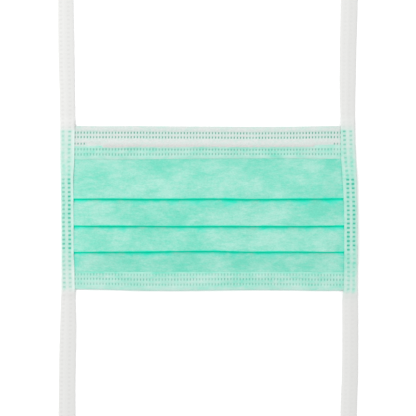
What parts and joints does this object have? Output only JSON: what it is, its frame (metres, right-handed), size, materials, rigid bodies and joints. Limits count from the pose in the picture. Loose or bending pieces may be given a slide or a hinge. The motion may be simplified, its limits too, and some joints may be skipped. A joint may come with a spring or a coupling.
{
  "type": "surgical face mask with tie straps",
  "caption": "Flat pleated rectangular face mask with turned nose and chin bands, an enclosed nose wire and a tie strap folded over each side.",
  "frame": {"origin": "under the middle of the mask, on the surface that it lies on", "axes": "+Z out of the mask's outer face, +Y towards the nose edge along the tie straps, +X across to the strap on the right as seen from the front"},
  "size_m": [0.1764, 0.256, 0.0051],
  "materials": {
    "green_cloth": "matte spunbond non-woven, mottled",
    "pale_green_cloth": "thin white non-woven over green, welded",
    "white_cloth": "matte white non-woven, welded",
    "strap_cloth": "matte white non-woven strip, welded",
    "wire_coating": "white plastic coat over a soft wire"
  },
  "bodies": {
    "root": {"pleated_panel": "green_cloth", "top_band": "white_cloth", "bottom_band": "pale_green_cloth", "nose_wire": "wire_coating", "tie_left": "strap_cloth", "tie_right": "strap_cloth"}
  },
  "joints": []
}
